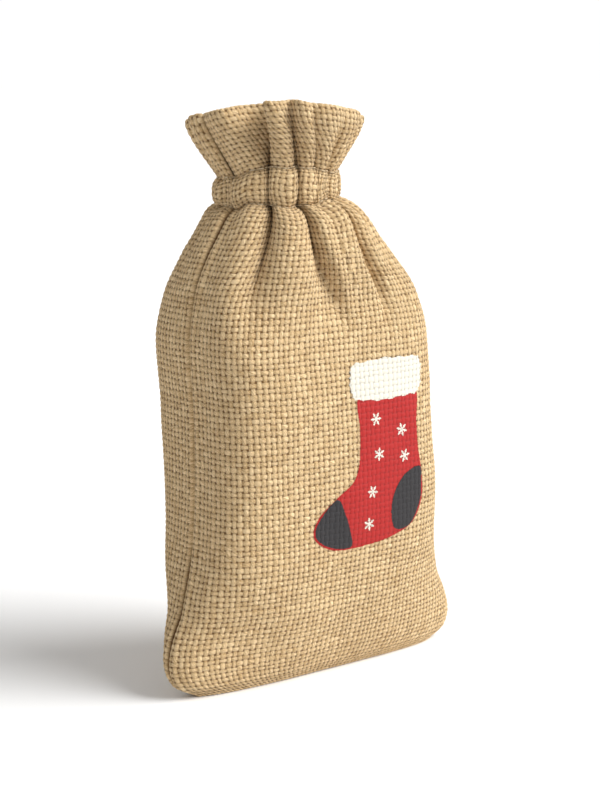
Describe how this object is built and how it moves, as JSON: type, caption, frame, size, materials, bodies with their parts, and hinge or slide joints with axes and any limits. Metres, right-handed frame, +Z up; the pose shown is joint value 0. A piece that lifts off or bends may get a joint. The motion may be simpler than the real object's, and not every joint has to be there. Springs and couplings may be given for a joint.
{
  "type": "fabric gift sack",
  "caption": "Tall drawstring gift sack of coarse burlap, filled shape, with gathered neck, ruffled top and a printed stocking on the front.",
  "frame": {"origin": "middle of the flat patch of the bottom that the sack stands on", "axes": "+X to the right along the bottom seam as seen from the printed front, -Y out of the printed front, +Z up"},
  "size_m": [0.1222, 0.0582, 0.1945],
  "materials": {
    "burlap": "coarse plain weave, matte",
    "sewing_thread": "twisted thread, matte",
    "cord": "twisted jute cord, matte",
    "red_ink": "transfer print on the weave, satin",
    "cream_ink": "transfer print on the weave, matte",
    "dark_ink": "transfer print on the weave, satin"
  },
  "bodies": {
    "sack": {"front_panel": "burlap", "back_panel": "burlap", "front_channel": "burlap", "back_channel": "burlap", "front_ruffle": "burlap", "back_ruffle": "burlap", "left_seam_allowance": "burlap", "right_seam_allowance": "burlap", "bottom_seam_allowance": "burlap", "left_seam_stitches": "sewing_thread", "right_seam_stitches": "sewing_thread", "bottom_seam_stitches": "sewing_thread", "left_seam_overlock": "sewing_thread", "right_seam_overlock": "sewing_thread", "bottom_seam_overlock": "sewing_thread", "channel_upper_stitches": "sewing_thread", "channel_lower_stitches": "sewing_thread", "upper_bar_tack": "sewing_thread", "lower_bar_tack": "sewing_thread", "print_cuff": "cream_ink", "print_stocking": "red_ink", "print_heel": "dark_ink", "print_toe": "dark_ink", "print_snowflakes": "cream_ink"},
    "drawstring": {"drawstring": "cord"}
  },
  "joints": [
    {"name": "drawstring_slip", "type": "hinge", "parent": "sack", "child": "drawstring", "pos_m": [-0.015, 0, 0.164], "axis": [0, 0, 1], "range_deg": [-5, 5]}
  ]
}
